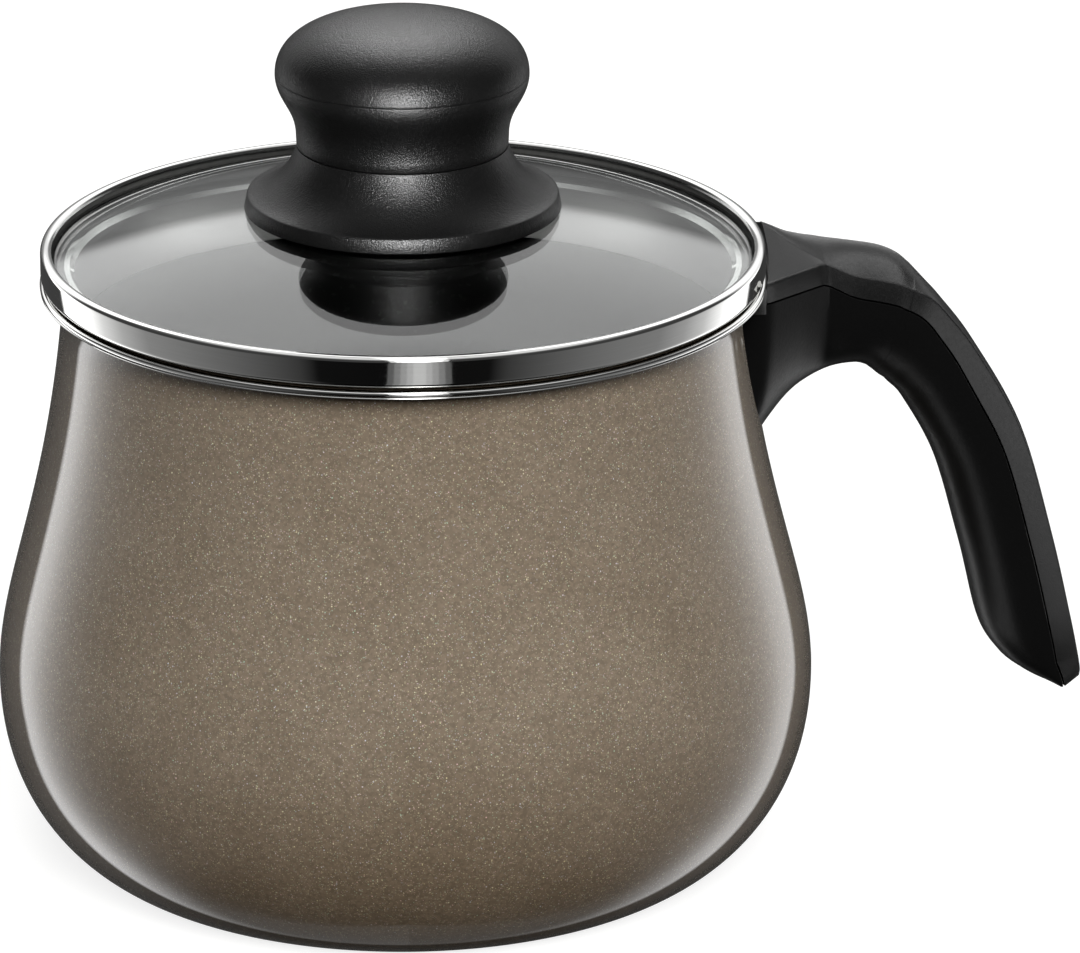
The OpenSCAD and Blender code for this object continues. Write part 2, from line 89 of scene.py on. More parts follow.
flare_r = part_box("knob_base")[1].x
flare_gap = 0.4 * MM
flare_edge_h = 3.2 * MM
seam_z, knob_top = grip_lo.z, grip_hi.z
head_r = grip_hi.x
knob_neck_r = 21.7 * MM
spigot_r, spigot_h, spigot_play = knob_neck_r - 6 * MM, 3 * MM, 0.2 * MM
hub_r, hub_z = 12 * MM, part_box("glass_grommet")[1].z
bore_r = 2.75 * MM
insert_r, insert_top = 4.6 * MM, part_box("knob_insert")[1].z

TURNED_STEPS, KNOB_STEPS = 256, 192


# ---------------------------------------------------------------- curves and meshes
def bezier(p, n):
    p = [np.array(q, float) for q in p]
    out = []
    for t in np.linspace(0, 1, n + 1):
        s = 1 - t
        out.append(tuple(s**3 * p[0] + 3 * s * s * t * p[1] + 3 * s * t * t * p[2] + t**3 * p[3]))
    return out


def arc(c, r, a0, a1, n):
    angles = np.radians(np.linspace(a0, a1, n + 1))
    return [(c[0] + r * math.cos(a), c[1] + r * math.sin(a)) for a in angles]


def near(r, z, steps):
    """Profile points given by how far, in mm, they lie inwards of r and above z."""
    return [(r - inwards * MM, z + rise * MM) for inwards, rise in steps]


def shifted(pts, d):
    """The profile pts moved sideways by d, to the left of its direction."""
    out = []
    for i, p in enumerate(pts):
        a = np.array(pts[max(i - 1, 0)])
        b = np.array(pts[min(i + 1, len(pts) - 1)])
        v = (b - a) / np.linalg.norm(b - a)
        out.append((p[0] - d * v[1], p[1] + d * v[0]))
    return out


def shade(bm, sharp):
    """Smooth shading, with edges steeper than sharp degrees kept crisp."""
    for f in bm.faces:
        f.smooth = True
    for e in bm.edges:
        e.smooth = not e.is_manifold or e.calc_face_angle(0) < math.radians(sharp)


def mesh_object(name, verts, faces, material, body, nodes=(), sharp=35, painted_shade_faces=()):
    """A piece that rides on body. The faces listed for painted shade get the second material, which
    paints shade on them.
    """
    mesh = bpy.data.meshes.new(name)
    mesh.from_pydata(verts, [], faces)
    for i in painted_shade_faces:
        mesh.polygons[i].material_index = 1
    bm = bmesh.new()
    bm.from_mesh(mesh)
    bmesh.ops.remove_doubles(bm, verts=bm.verts, dist=1e-7)
    bmesh.ops.recalc_face_normals(bm, faces=bm.faces)
    shade(bm, sharp)
    bm.to_mesh(mesh)
    bm.free()
    mesh.materials.append(material)
    obj = bpy.data.objects.new(name, mesh)
    bpy.context.scene.collection.objects.link(obj)
    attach(obj, body)
    if nodes:
        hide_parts(*nodes)
    return obj


def lathe(name, profile, segments, material, body, nodes=(), closed=True, sharp=35):
    """A turned piece: profile points are (radius, height), and a radius of 0 makes a pole."""
    verts, rows = [], []
    for r, z in profile:
        if r < 1e-6:
            verts.append((0, 0, z))
            rows.append([len(verts) - 1] * segments)
            continue
        rows.append(list(range(len(verts), len(verts) + segments)))
        for k in range(segments):
            a = 2 * math.pi * k / segments
            verts.append((r * math.cos(a), r * math.sin(a), z))
    faces = []
    for i in range(len(rows) if closed else len(rows) - 1):
        a, b = rows[i], rows[(i + 1) % len(rows)]
        if a[0] == a[1] and b[0] == b[1]:
            continue
        for k in range(segments):
            j = (k + 1) % segments
            face = []
            for v in (a[k], a[j], b[j], b[k]):
                if v not in face:
                    face.append(v)
            faces.append(face)
    return mesh_object(name, verts, faces, material, body, nodes, sharp)


# ---------------------------------------------------------------- material helpers
def srgb(r, g, b):
    def lin(c):
        c /= 255
        return c / 12.92 if c <= 0.04045 else ((c + 0.055) / 1.055) ** 2.4

    return (lin(r), lin(g), lin(b), 1)


def feed(tree, node, inputs):
    """Links the sockets among inputs, and sets the values."""
    for key, value in inputs.items():
        if isinstance(value, bpy.types.NodeSocket):
            tree.links.new(value, node.inputs[key])
        else:
            node.inputs[key].default_value = value


def add(tree, kind, inputs=None, **settings):
    node = tree.nodes.new(kind)
    for key, value in settings.items():
        setattr(node, key, value)
    feed(tree, node, inputs or {})
    return node


def new_material(name):
    mat = bpy.data.materials.new(name)
    mat.use_nodes = True
    tree = mat.node_tree
    coords = add(tree, "ShaderNodeTexCoord").outputs["Object"]
    return mat, tree, tree.nodes["Principled BSDF"], coords


def math_node(tree, operation, a, b=0.0, c=0.0, clamp=False):
    node = add(tree, "ShaderNodeMath", {0: a, 1: b, 2: c}, operation=operation, use_clamp=clamp)
    return node.outputs[0]


def product(tree, *factors):
    out = factors[0]
    for factor in factors[1:]:
        out = math_node(tree, "MULTIPLY", out, factor)
    return out


def remap(tree, value, lo, hi, to_lo=0.0, to_hi=1.0, smooth=False):
    node = add(
        tree,
        "ShaderNodeMapRange",
        {"Value": value, "From Min": lo, "From Max": hi, "To Min": to_lo, "To Max": to_hi},
        clamp=True,
        interpolation_type="SMOOTHSTEP" if smooth else "LINEAR",
    )
    return node.outputs["Result"]


def mix(tree, factor, a, b, blend="MIX"):
    node = add(tree, "ShaderNodeMix", {0: factor, 6: a, 7: b}, data_type="RGBA", blend_type=blend)
    return node.outputs[2]


def mix_levels(tree, factor, a, b):
    return add(tree, "ShaderNodeMix", {0: factor, 2: a, 3: b}, data_type="FLOAT").outputs[0]


def noise(tree, coords, scale, detail=2.0, roughness=0.5):
    inputs = {"Vector": coords, "Scale": scale, "Detail": detail, "Roughness": roughness}
    return add(tree, "ShaderNodeTexNoise", inputs).outputs["Fac"]


def cells(tree, coords, scale):
    """Random cells: the distance to each cell's middle, and its random red and green."""
    voronoi = add(tree, "ShaderNodeTexVoronoi", {"Vector": coords, "Scale": scale})
    parts = add(tree, "ShaderNodeSeparateColor", {"Color": voronoi.outputs["Color"]})
    return voronoi.outputs["Distance"], parts.outputs["Red"], parts.outputs["Green"]


def stretched(tree, coords, factor):
    """Coordinates whose height counts factor times, for marks that run round the piece."""
    scale = (1.0, 1.0, factor)
    return add(tree, "ShaderNodeMapping", {"Vector": coords, "Scale": scale}).outputs["Vector"]


def bump(tree, height, strength, distance):
    inputs = {"Height": height, "Strength": strength, "Distance": distance}
    return add(tree, "ShaderNodeBump", inputs).outputs["Normal"]


# ---------------------------------------------------------------- materials
# a layer of flakes: cells to the metre, share left out, size within the cell, strength
FLAKES = ((3800.0, 0.72, 0.55, 0.5), (2300.0, 0.86, 0.42, 0.75))
FLAKE_COLOURS = (
    (0.0, srgb(228, 222, 196)),
    (0.3, srgb(236, 226, 178)),
    (0.55, srgb(176, 214, 190)),
    (0.75, srgb(232, 190, 186)),
    (1.0, srgb(214, 224, 238)),
)
WHITE = (1, 1, 1, 1)


def enamel_material():
    """Glossy mineral enamel: a greige ground full of fine pale flakes of several tints."""
    mat, tree, bsdf, coords = new_material("enamel")
    cloud = remap(tree, noise(tree, coords, 60, 3), 0.35, 0.65)
    ground = mix(tree, cloud, srgb(115, 102, 87), srgb(121, 108, 93))
    _, mottle, _ = cells(tree, coords, 1500.0)
    ground = mix(tree, remap(tree, mottle, 0, 1, 0, 0.5), ground, srgb(84, 76, 64))
    for scale, cut, size, strength in FLAKES:
        distance, red, green = cells(tree, coords, scale)
        here = remap(tree, red, cut, 1.0)
        spot = remap(tree, distance, size * 0.4, size, 1.0, 0.0)
        tint = add(tree, "ShaderNodeValToRGB", {"Fac": green})
        ramp = tint.color_ramp
        for element, (at, colour) in zip(ramp.elements, (FLAKE_COLOURS[0], FLAKE_COLOURS[-1])):
            element.position, element.color = at, colour
        for at, colour in FLAKE_COLOURS[1:-1]:
            ramp.elements.new(at).color = colour
        amount = math_node(tree, "MULTIPLY", product(tree, here, spot), strength, clamp=True)
        ground = mix(tree, amount, ground, tint.outputs["Color"])
    # painted shade: the colour grows darker and warmer towards the foot, standing in for the dimmer
    # light on the lower body
    height = add(tree, "ShaderNodeSeparateXYZ", {"Vector": coords}).outputs["Z"]
    painted_foot_shade = mix(tree, remap(tree, height, 0.018, 0.06, smooth=True), srgb(231, 224, 215), WHITE)
    surface = {
        "Base Color": mix(tree, 1.0, ground, painted_foot_shade, "MULTIPLY"),
        "Metallic": 0.0,
        "Roughness": 0.45,
        "Specular IOR Level": 0.1,
        "Coat Weight": 1.0,
        "Coat Roughness": 0.02,
        "Coat IOR": 1.52,
        "Coat Normal": bump(tree, noise(tree, coords, 22, 1), 0.05, 0.004),
    }
    feed(tree, bsdf, surface)
    return mat


def inside_material():
    """The smooth dark enamel inside the pot, with a faint speckle."""
    mat, tree, bsdf, coords = new_material("inside_enamel")
    _, red, _ = cells(tree, coords, 1300.0)
    speck = remap(tree, red, 0.9, 1.0, 0.0, 0.12)
    ground = mix(tree, noise(tree, coords, 35, 2), srgb(38, 37, 36), srgb(46, 45, 44))
    colour = mix(tree, speck, ground, srgb(150, 150, 148))
    surface = {"Base Color": colour, "Roughness": 0.4, "Coat Weight": 0.6, "Coat Roughness": 0.12}
    feed(tree, bsdf, surface)
    return mat


def metal_material(name, cloud_of, dark, light, rough, relief=None):
    """Metal whose colour and roughness vary with one noise. A relief is (strength, depth)."""
    mat, tree, bsdf, coords = new_material(name)
    cloud = cloud_of(tree, coords)
    surface = {"Base Color": mix(tree, cloud, dark, light), "Metallic": 1.0, "Roughness": rough}
    if isinstance(rough, tuple):
        surface["Roughness"] = remap(tree, cloud, 0.3, 0.7, *rough)
    if relief:
        surface["Normal"] = bump(tree, cloud, *relief)
    feed(tree, bsdf, surface)
    return mat


def turning_marks(tree, coords):
    return noise(tree, stretched(tree, coords, 40.0), 90, 3)


def brushing(tree, coords):
    return noise(tree, stretched(tree, coords, 60.0), 120, 3)


def zinc_clouds(tree, coords):
    return noise(tree, coords, 500, 4)


def brass_clouds(tree, coords):
    return noise(tree, coords, 900, 3)


def plastic_material(name, tone, grain_scale, grain_depth, rough, shine):
    """Black phenolic with a fine eroded grain."""
    mat, tree, bsdf, coords = new_material(name)
    fine = noise(tree, coords, grain_scale, 2, 0.6)
    coarse = noise(tree, coords, grain_scale * 0.4, 2)
    both = math_node(tree, "MULTIPLY_ADD", coarse, 0.6, fine)
    paler = tuple(min(1, c * 1.5) for c in tone[:3]) + (1,)
    surface = {
        "Base Color": mix(tree, fine, tone, paler),
        "Roughness": remap(tree, coarse, 0.3, 0.7, rough - 0.04, rough + 0.05),
        "Specular IOR Level": shine,
        "Normal": bump(tree, both, 1.0, grain_depth),
    }
    feed(tree, bsdf, surface)
    return mat


def glass_material():
    """Clear tempered glass, faintly grey, with soft roller waves."""
    mat, tree, bsdf, coords = new_material("lid_glass")
    surface = {
        "Base Color": (0.93, 0.95, 0.94, 1),
        "Roughness": 0.0,
        "IOR": 1.52,
        "Transmission Weight": 1.0,
        "Normal": bump(tree, noise(tree, coords, 14, 1), 0.006, 0.002),
    }
    feed(tree, bsdf, surface)
    return mat


def rubber_material(name, dark, light):
    mat, tree, bsdf, coords = new_material(name)
    cloud = noise(tree, coords, 700, 3)
    colour = mix(tree, cloud, dark, light)
    relief = bump(tree, cloud, 0.3, 0.0001)
    feed(tree, bsdf, {"Base Color": colour, "Roughness": 0.55, "Normal": relief})
    return mat


enamel = enamel_material()
inside = inside_material()
polished = metal_material(
    "polished_steel",
    turning_marks,
    srgb(226, 226, 224),
    srgb(236, 236, 235),
    (0.03, 0.07),
    relief=(0.006, 0.0005),
)
satin = metal_material(
    "satin_steel", brushing, srgb(196, 196, 194), srgb(214, 214, 212), (0.3, 0.42)
)
plain_steel = metal_material(
    "plain_steel", zinc_clouds, srgb(150, 150, 146), srgb(182, 182, 178), (0.25, 0.42)
)
brass = metal_material("brass", brass_clouds, srgb(176, 142, 72), srgb(200, 168, 96), 0.3)
knob_black = plastic_material("knob_plastic", srgb(12, 12, 12), 3600.0, 0.0001, 0.35, 0.14)
handle_black = plastic_material("handle_plastic", srgb(10, 10, 10), 3200.0, 0.00003, 0.33, 0.12)
# near-black painted shade for the inside of the handle's groove, where little light reaches
painted_groove_shade = plastic_material("groove_painted_shade", srgb(3, 3, 3), 3200.0, 0.00003, 0.6, 0.0)
glass = glass_material()
seal_grey = rubber_material("sealant", srgb(60, 60, 59), srgb(80, 80, 78))
silicone = rubber_material("silicone", srgb(176, 176, 172), srgb(196, 196, 192))

# ---------------------------------------------------------------- pot
BASE_PULL, BELLY_PULL, FLANK_PULL, NECK_PULL = 2 * MM, 0.23, 0.24, 0.565
# rounding of the band's lower outer edge, in mm inwards and upwards
BAND_BEAD = ((0.3, 0), (0.14, 0.05), (0.1, 0.15), (0.18, 0.28), (0.26, 0.34))

belly = bezier(
    [(base_r, 0), (base_r + BASE_PULL, 0), (belly_r, belly_z * BELLY_PULL), (belly_r, belly_z)], 36
)
flank_h = neck_z - belly_z
neck_pull = NECK_PULL * flank_h
flank = bezier(
    [
        (belly_r, belly_z),
        (belly_r, belly_z + FLANK_PULL * flank_h),
        (neck_r + neck_pull * math.sin(neck_lean), neck_z - neck_pull * math.cos(neck_lean)),
        (neck_r, neck_z),
    ],
    44,
)
wall = belly + flank[1:]
inner = [p for p in shifted(wall, wall_t) if p[1] > base_t + inner_chamfer]
mouth_r = inner[-1][0]

band_leg = (rim_h - flange_t) / 2
band_bottom = pot_h - rim_h
flange_z = band_bottom + band_leg
flange_top = flange_z + flange_t
fillet_r = flange_z - neck_z
band_in = neck_r + fillet_r
groove_r = base_r - foot_w
groove_in = groove_r - groove_w
base_turn_x = inner[0][0] - base_turn_r - 0.2 * MM

outside_profile = (
    [(0, 0), (groove_in, 0), (groove_in + groove_slope, groove_d)]
    + [(groove_r - groove_slope, groove_d), (groove_r, 0)]
    + wall
    + arc((neck_r + fillet_r, neck_z), fillet_r, 180, 90, 10)
    + [(rim_r - band_wall, flange_z), (rim_r - band_wall, flange_top)]
)
inside_profile = (
    arc((mouth_r + mouth_turn_r, flange_top - mouth_turn_r), mouth_turn_r, 90, 180, 10)
    + inner[::-1]
    + arc((base_turn_x, base_t + base_turn_r), base_turn_r, -15, -90, 6)
    + [(0, base_t)]
)
pot = lathe(
    "pot",
    outside_profile + inside_profile,
    TURNED_STEPS,
    enamel,
    "pot",
    ["pot_body"],
    closed=False,
)
pot.data.materials.append(inside)
for face in pot.data.polygons:
    c, n = face.center, face.normal
    inner_wall = n.x * c.x + n.y * c.y < -1e-9 and c.z > base_t
    inner_base = n.z > 0.9 and MM < c.z < 10 * MM
    if inner_wall or inner_base:
        face.material_index = 1

rim_profile = (
    [(band_in, band_bottom)]
    + near(rim_r, band_bottom, BAND_BEAD)
    + arc((rim_r - band_edge_r, pot_h - band_edge_r), band_edge_r, -50, 90, 14)
    + [(band_in, pot_h), (band_in, pot_h - band_leg)]
    + [(rim_r - band_wall, pot_h - band_leg), (rim_r - band_wall, flange_z), (band_in, flange_z)]
)
rim = lathe("rim", rim_profile, TURNED_STEPS, polished, "pot", ["rim_band"])

# ---------------------------------------------------------------- lid
# rounding of the skirt's lower inner edge, in mm inwards and upwards
SKIRT_EDGE = ((0, 0.3), (-0.1, 0.08), (-0.25, 0))

skirt_out = mouth_r - skirt_play
skirt_in = skirt_out - sheet_t
lip_in = ring_r - lip_w
channel_in = lip_in + sheet_t
channel_top = ring_top - lip_r
lip_middle = (ring_r - lip_r, ring_top - lip_r)
corner_middle = (ring_r - corner_r, seat_z + corner_r)
bend_in = 0.4 * MM
ring_profile = (
    near(skirt_in, skirt_bottom, SKIRT_EDGE)
    + [(skirt_out, skirt_bottom), (skirt_out, seat_z - skirt_bend)]
    + arc((skirt_out + skirt_bend, seat_z - skirt_bend), skirt_bend, 180, 90, 5)
    + arc(corner_middle, corner_r, -90, 0, 10)
    + arc(lip_middle, lip_r, 0, 90, 12)
    + arc((lip_in + lip_edge_r, ring_top - lip_edge_r), lip_edge_r, 90, 180, 8)
    + [(lip_in, channel_top), (channel_in, channel_top), (channel_in, ring_top - sheet_t)]
    + arc(lip_middle, lip_r - sheet_t, 90, 0, 6)
    + arc(corner_middle, corner_r - sheet_t, 0, -90, 6)
    + [(skirt_out + bend_in, seat_z + sheet_t), (skirt_in, seat_z - bend_in)]
)
ring = lathe("ring", ring_profile, TURNED_STEPS, polished, "lid", ["lid_ring"])
ring.data.materials.append(satin)
for face in ring.data.polygons:
    c = face.center
    if c.z < seat_z - MM and math.hypot(c.x, c.y) < skirt_out + 0.1 * MM:
        face.material_index = 1

glass_inner_r = dome_r - glass_t
dome_z = glass_lo.z - math.sqrt(glass_inner_r**2 - glass_r**2)


def glass_top(r):
    return dome_z + math.sqrt(dome_r**2 - r**2)


def glass_under(r):
    return dome_z + math.sqrt(glass_inner_r**2 - r**2)


radii = list(np.linspace(glass_hole_r, glass_r, 49))
glass_profile = [(r, glass_under(r)) for r in radii] + [(r, glass_top(r)) for r in radii[::-1]]
lathe("glass", glass_profile, TURNED_STEPS, glass, "lid", ["lid_glass"])

# ---------------------------------------------------------------- knob
# turned details, in mm inwards of a radius and above a height, and pulls of the curves
FLARE_FOOT = ((2.4, 0), (0.3, 0), (0.09, 0.09), (0, 0.3))
FLARE_EDGE = ((0.5, -0.35), (0.6, -0.12))
FLARE_START = ((0.9, 0), (6.5, 1.4))
NECK_EDGE = ((0.6, 0), (0.25, 0.12), (0.08, 0.4))
HEAD_GROOVE = ((0, -0.16), (0.1, 0), (0, 0.16))
FLARE_PULL, WAIST_PULL, HEAD_UNDER_PULL, HEAD_OVER_PULL = 0.45, 6.4 * MM, 4.7 * MM, 7.7 * MM
CROWN_PULL, HEAD_SHARE = 0.663, 0.56

knob_z = glass_top(flare_r) + flare_gap
edge_top = knob_z + flare_edge_h
hollow_z = seam_z - 5 * MM
slope_h = (seam_z - knob_z - flare_edge_h) * FLARE_PULL
spigot_top = seam_z + spigot_h
base_profile = (
    [(bore_r, hub_z), (hub_r, hub_z), (hub_r + MM, hollow_z), (knob_neck_r - MM, hollow_z)]
    + near(flare_r, edge_top, [(5.4, -1.2)])
    + near(flare_r, knob_z, FLARE_FOOT)
    + near(flare_r, edge_top, FLARE_EDGE)
    + bezier(
        near(flare_r, edge_top, FLARE_START)
        + [(knob_neck_r + 1.2 * MM, seam_z - slope_h), (knob_neck_r - 0.1 * MM, seam_z)],
        36,
    )
    + [(spigot_r, seam_z), (spigot_r, spigot_top), (bore_r, spigot_top)]
)
knob_flare = lathe(
    "knob_flare",
    base_profile,
    KNOB_STEPS,
    knob_black,
    "lid",
    ["knob_base"],
    sharp=50,
)

waist_z = seam_z + 2 * MM
head_z = seam_z + HEAD_SHARE * (knob_top - seam_z)
socket_r = spigot_r + spigot_play
waist_curve = [
    (knob_neck_r, waist_z),
    (knob_neck_r, waist_z + WAIST_PULL),
    (head_r, head_z - HEAD_UNDER_PULL),
    (head_r, head_z),
]
crown_curve = [
    (head_r, head_z),
    (head_r, head_z + HEAD_OVER_PULL),
    (head_r * CROWN_PULL, knob_top),
    (0, knob_top),
]
head_profile = (
    [(insert_r, spigot_top), (socket_r, spigot_top), (socket_r, seam_z)]
    + near(knob_neck_r, seam_z, NECK_EDGE)
    + bezier(waist_curve, 40)[:-1]
    + near(head_r, head_z, HEAD_GROOVE)
    + bezier(crown_curve, 48)[1:]
    + [(0, insert_top), (insert_r, insert_top)]
)
knob_head = lathe(
    "knob_head",
    head_profile,
    KNOB_STEPS,
    knob_black,
    "lid",
    ["knob_grip"],
    sharp=50,
)

# ---------------------------------------------------------------- handle
# along the crest: share of the reach, share of the drop, tilt in degrees,
# depth as a share of ARM, and how far in mm the crest's edges lie under its middle
HANDLE_ROWS = [
    (-0.055, -0.098, 0, 3.00, 0.4),
    (0.068, -0.070, 0, 2.20, 0.4),
    (0.146, -0.043, 0, 1.75, 1.3),
    (0.233, -0.025, 0, 1.48, 2.5),
    (0.318, -0.016, 6, 1.38, 4.4),
    (0.407, -0.002, 13, 1.32, 4.6),
    (0.462, 0.017, 17.6, 1.283, 3.9),
    (0.497, 0.040, 21.6, 1.24, 3.0),
    (0.506, 0.047, 22.8, 1.225, 2.6),
    (0.545, 0.081, 28.9, 1.158, 1.2),
    (0.595, 0.125, 36.4, 1.088, 0.9),
    (0.685, 0.218, 52, 1.01, 0.8),
    (0.821, 0.404, 69.5, 1.01, 0.9),
    (0.916, 0.647, 80, 1.01, 0.9),
    (0.974, 0.835, 83, 1.00, 0.8),
    (0.996, 0.915, 86, 0.88, 0.7),
    (1.003, 0.946, 82, 0.68, 0.6),
    (1.005, 0.963, 75, 0.47, 0.5),
    (1.002, 0.976, 69, 0.31, 0.4),
]
REACH, DROP, ARM = 73 * MM, 97 * MM, 18.8 * MM
CREST, SHOULDER, ROOT_W = 18 * MM, 5 * MM, 43 * MM
ROOT_L, ROOT_START = 17 * MM, 1.8 * MM
COVER, ARM_COVER, BEVEL, FLANK_BLEND = 3.8 * MM, 1.2 * MM, 0.3 * MM, 3 * MM
NOTCH, NOTCH_HALF, NOTCH_EDGE = 1.2 * MM, 0.2 * MM, 0.06 * MM
LEAST_CREST, LEAST_GRIP = 1.2 * MM, 0.8 * MM
APEX_SHARE, NARROWS_BY, SQUARENESS = 0.29, 0.16, 0.8
# shares of the drop: where a change starts, and over how much it runs
NARROWS, COVER_GROWS, COVER_ENDS = (0.8, 0.2), (0.05, 0.25), (0.93, 0.046)
CREST_SHARES = (0, 0.2, 0.4, 0.6, 0.8)
COVER_ROUNDING = [0, 0.5 * MM, 0.7 * MM, 0.08 * MM, 0]
handle_z = pot_h + 0.4 * MM
edge_z = handle_z + 0.4 * MM


def clamp01(v):
    return min(max(v, 0), 1)


def reached(v, start, over):
    return clamp01((v - start) / over)


def stations(rows, steps):
    """The rows with steps - 1 more between each two, on a smooth curve through them all."""
    rows = [np.array(r, float) for r in rows]
    last = len(rows) - 1
    out = []
    for i in range(last):
        a, b, c, d = rows[max(i - 1, 0)], rows[i], rows[i + 1], rows[min(i + 2, last)]
        for k in range(steps):
            t = k / steps
            square, cube = 2 * a - 5 * b + 4 * c - d, 3 * b - a - 3 * c + d
            out.append(0.5 * (2 * b + (c - a) * t + square * t * t + cube * t**3))
    out.append(rows[last])
    return out


def section_sizes(s):
    """Half widths of crest, edge and seam, and depths of crown, edge, seam and underside."""
    along, down, _, deep, sagging = s
    out = along * REACH
    taper = 1 - NARROWS_BY * reached(down, *NARROWS) ** 2
    wide = clamp01((out / ROOT_L - APEX_SHARE) / (1 - APEX_SHARE))
    crest = max(LEAST_CREST, CREST / 2 * wide) * taper
    flare = clamp01((ROOT_L - out) / (ROOT_L - ROOT_START))
    edge = BEVEL + CREST / 2 * taper + (ROOT_W - CREST) / 2 * flare
    share = clamp01(1 - out / ROOT_L)
    crown = sagging * MM
    edge_depth = crown + BEVEL
    if share > 0:
        edge_depth = max(handle_z - down * DROP - edge_z, edge_depth)
    seam = edge + SHOULDER / 2 * (1 - 0.5 * share) * taper
    thicker = reached(down, *COVER_GROWS) - reached(down, *COVER_ENDS)
    seam_depth = edge_depth + COVER + ARM_COVER * thicker
    depth = max(deep * ARM, seam_depth + LEAST_GRIP)
    return crest, edge, seam, crown, edge_depth, seam_depth, depth


def place(s, w, d):
    """The point of section s at width w and depth d."""
    a = math.radians(s[2])
    x = neck_r + s[0] * REACH - d * math.sin(a)
    z = handle_z - s[1] * DROP - d * math.cos(a)
    return (x, w, z)


def rounded(points, radii, n):
    """The open chain of points with each inner corner turned into a curve of n + 1 points."""
    out = [points[0]]
    for i in range(1, len(points) - 1):
        p, a, b = (np.array(points[j], float) for j in (i, i - 1, i + 1))
        r = min(radii[i], np.linalg.norm(a - p) * 0.45, np.linalg.norm(b - p) * 0.45)
        u = p + (a - p) / max(np.linalg.norm(a - p), 1e-9) * r
        v = p + (b - p) / max(np.linalg.norm(b - p), 1e-9) * r
        for t in np.linspace(0, 1, n + 1):
            out.append(tuple((1 - t) ** 2 * u + 2 * t * (1 - t) * p + t * t * v))
    out.append(points[-1])
    return out


def cover_ring(s):
    crest, edge, seam, crown, edge_depth, seam_depth, _ = section_sizes(s)
    top = [(crest * t, crown * t * t) for t in CREST_SHARES]
    chain = [top[-1], (crest, crown), (edge, edge_depth)]
    chain += [(seam, seam_depth - NOTCH_HALF), (seam - NOTCH, seam_depth)]
    side = top[:-1] + rounded(chain, COVER_ROUNDING, 3)
    right = [place(s, w, d) for w, d in side]
    left = [place(s, -w, d) for w, d in side[:0:-1]]
    return right + left


def grip_ring(s):
    _, _, seam, _, _, seam_depth, depth = section_sizes(s)
    root = max(ROOT_L - s[0] * REACH, 0)
    flank = (ROOT_W - CREST) / 2 / (ROOT_L - ROOT_START) * (root - root**2 / (root + FLANK_BLEND))
    height = depth - seam_depth - NOTCH_HALF
    start = seam_depth + NOTCH_HALF
    side = [(seam - NOTCH, seam_depth), (seam - NOTCH_EDGE, start), (seam, start + NOTCH_EDGE)]
    for a in np.radians(np.linspace(0, 90, 19))[1:]:
        wide = seam - flank * math.sin(a)
        w, d = wide * math.cos(a) ** SQUARENESS, start + height * math.sin(a) ** SQUARENESS
        side.append((w, d))
    right = [place(s, max(w, 0), d) for w, d in side]
    left = [place(s, -w, d) for w, d in side[-2::-1]]
    return right + left


def skin(name, rings, groove, nodes):
    """A shell of the handle through the rings. Faces from the points in groove on get the
    near-black painted shade of the groove's inside.
    """
    m = len(rings[0])
    painted_shade_faces = []
    verts = [p for ring in rings for p in ring]
    faces = [list(range(m))[::-1], [(len(rings) - 1) * m + j for j in range(m)]]
    for i in range(len(rings) - 1):
        for j in range(m):
            a, b = i * m + j, i * m + (j + 1) % m
            # faces inside the groove get the near-black painted shade
            if j in groove or j - m in groove:
                painted_shade_faces.append(len(faces))
            faces.append((a, b, b + m, a + m))
    shell = mesh_object(
        name, verts, faces, handle_black, "pot", nodes, painted_shade_faces=painted_shade_faces
    )
    # the second material is the painted shade of the groove
    shell.data.materials.append(painted_groove_shade)
    # reflections don't see the handle, so the enamel beside it shows the studio, as in the photo
    shell.visible_glossy = False
    return shell


def cut_away(obj, cutter):
    """Takes the cutter's space out of obj."""
    mod = obj.modifiers.new("cut", "BOOLEAN")
    mod.operation = "DIFFERENCE"
    mod.solver = "EXACT"
    mod.object = cutter
    bpy.context.view_layer.update()
    seen = obj.evaluated_get(bpy.context.evaluated_depsgraph_get())
    done = bpy.data.meshes.new_from_object(seen)
    obj.modifiers.remove(mod)
    obj.data = done
    bm = bmesh.new()
    bm.from_mesh(done)
    shade(bm, 35)
    bm.to_mesh(done)
    bm.free()


def cutting_piece(name, profile, segments):
    return lathe(name, profile, segments, handle_black, "pot", closed=False)


rows = stations(HANDLE_ROWS, 8)
cover_rings = [cover_ring(s) for s in rows]
half = len(cover_rings[0]) // 2
cover = skin("handle_top", cover_rings, (half - 1, half, half + 1), ["handle_cover"])
grip = skin("handle_under", [grip_ring(s) for s in rows], (0, -2, -1), ["handle_grip"])

# the pot's wall and the lid's room, which the shells' roots must not enter
ROOM_FROM, ROOM_UP = 60 * MM, 20 * MM
rim_gap = 0.4 * MM
room = [(0, ROOM_FROM)] + [p for p in wall if ROOM_FROM < p[1] < neck_z - MM]
room += [(room[-1][0], neck_z - MM), (rim_r + rim_gap, neck_z - MM)]
room += [(rim_r + rim_gap, pot_h + ROOM_UP), (0, pot_h + ROOM_UP)]
cutter = cutting_piece("cutter", room, TURNED_STEPS)
for shell in (cover, grip):
    cut_away(shell, cutter)
bpy.data.objects.remove(cutter)

# the bore from below in which the handle screw sits
screw_lo, screw_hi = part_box("handle_screw")
well_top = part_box("spring_washer")[1].z
well_bottom = well_top - 20 * MM
well_r = (screw_hi.x - screw_lo.x) / 2 + 0.5 * MM
well_profile = [(0, well_bottom), (well_r, well_bottom), (well_r, well_top), (0, well_top)]
well = cutting_piece("well", well_profile, 64)
well.location.x += (screw_lo.x + screw_hi.x) / 2
cut_away(grip, well)
bpy.data.objects.remove(well)

